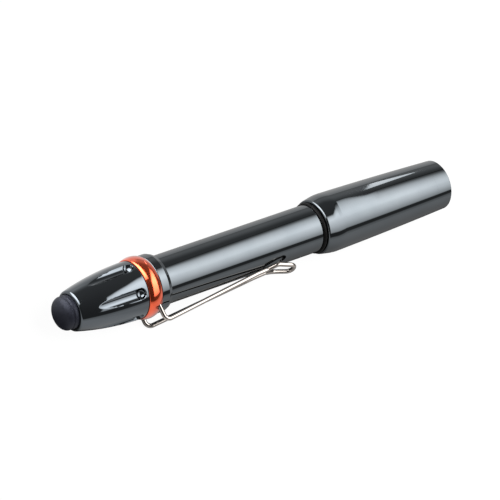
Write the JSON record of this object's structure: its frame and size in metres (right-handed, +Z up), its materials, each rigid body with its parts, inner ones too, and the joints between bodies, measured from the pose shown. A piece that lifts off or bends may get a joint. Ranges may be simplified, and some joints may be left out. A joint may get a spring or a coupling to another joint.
{
  "type": "ultraviolet penlight",
  "caption": "Slim black ultraviolet penlight with a tapered head, a fluted screw-off tail cap, a push button and a bent-wire pocket clip on an orange ring.",
  "frame": {"origin": "centre of the front rim, where the light leaves", "axes": "+X along the pen's axis, the way the light leaves; +Z up as the pen lies on a table, on its ring, its head and the lower bend of its clip; +Y to the side away from the clip"},
  "size_m": [0.1353, 0.0215, 0.0178],
  "materials": {
    "black_anodised": "polished black anodised aluminium",
    "orange_anodised": "satin orange anodised aluminium",
    "polished_wire": "polished nickel-plated spring wire",
    "button_rubber": "fine matte moulded rubber",
    "seal_rubber": "smooth black rubber",
    "contact_brass": "bright stamped and turned brass",
    "spring_steel": "drawn spring wire, lightly plated",
    "switch_plastic": "moulded black plastic",
    "plunger_plastic": "natural moulded plastic",
    "cell_case": "plain sleeved cell with a bare metal nub",
    "green_board": "circuit board with solder mask",
    "white_board": "metal-core board with white mask",
    "lead_sleeve": "red wire insulation",
    "emitter_silicone": "clear dome on a ceramic base",
    "white_plastic": "moulded white plastic",
    "reflector_mirror": "vacuum-coated bowl",
    "lens_glass": "clear coated glass"
  },
  "bodies": {
    "barrel_and_head": {"barrel": "black_anodised", "clip_ring": "orange_anodised", "rear_cell": "cell_case", "front_cell": "cell_case", "head_seal": "seal_rubber", "head_sleeve": "black_anodised", "driver_contact": "contact_brass", "driver_board": "green_board", "heat_sink": "contact_brass", "lamp_leads": "lead_sleeve", "led_board": "white_board", "led_emitter": "emitter_silicone", "centring_ring": "white_plastic", "reflector": "reflector_mirror", "lens": "lens_glass", "lens_seal": "seal_rubber", "bezel": "black_anodised"},
    "clip": {"pocket_clip": "polished_wire"},
    "cap_seal": {"cap_seal": "seal_rubber"},
    "tail_cap": {"tail_cap": "black_anodised", "switch_housing": "switch_plastic", "switch_cover": "switch_plastic", "ring_contact": "contact_brass", "centre_terminal": "contact_brass", "switch_retainer": "contact_brass", "tail_spring": "spring_steel", "switch_spring": "spring_steel"},
    "button": {"push_button": "button_rubber", "switch_plunger": "plunger_plastic", "contact_bridge": "contact_brass"}
  },
  "joints": [
    {"name": "cap_advance", "type": "slide", "parent": "barrel_and_head", "child": "cap_seal", "axis": [-1, 0, 0], "range_m": [0, 0.00605]},
    {"name": "cap_turn", "type": "hinge", "parent": "cap_seal", "child": "tail_cap", "pos_m": [-0.11005, 0, 0], "axis": [-1, 0, 0], "range_deg": [0, 2160]},
    {"name": "button_press", "type": "slide", "parent": "tail_cap", "child": "button", "axis": [1, 0, 0], "range_m": [0, 0.0018], "stiffness_N_per_m": 900, "springref_m": -0.0012, "deforming": ["switch_spring"]},
    {"name": "clip_flex", "type": "hinge", "parent": "barrel_and_head", "child": "clip", "pos_m": [-0.10681, -0.0054, -0.00176], "axis": [0, 0.3089, -0.9511], "range_deg": [0, 5], "stiffness_Nm_per_rad": 1.4}
  ],
  "couplings": [
    {"joint": "cap_advance", "follows": "cap_turn", "m_per_rad": 0.00015915}
  ]
}
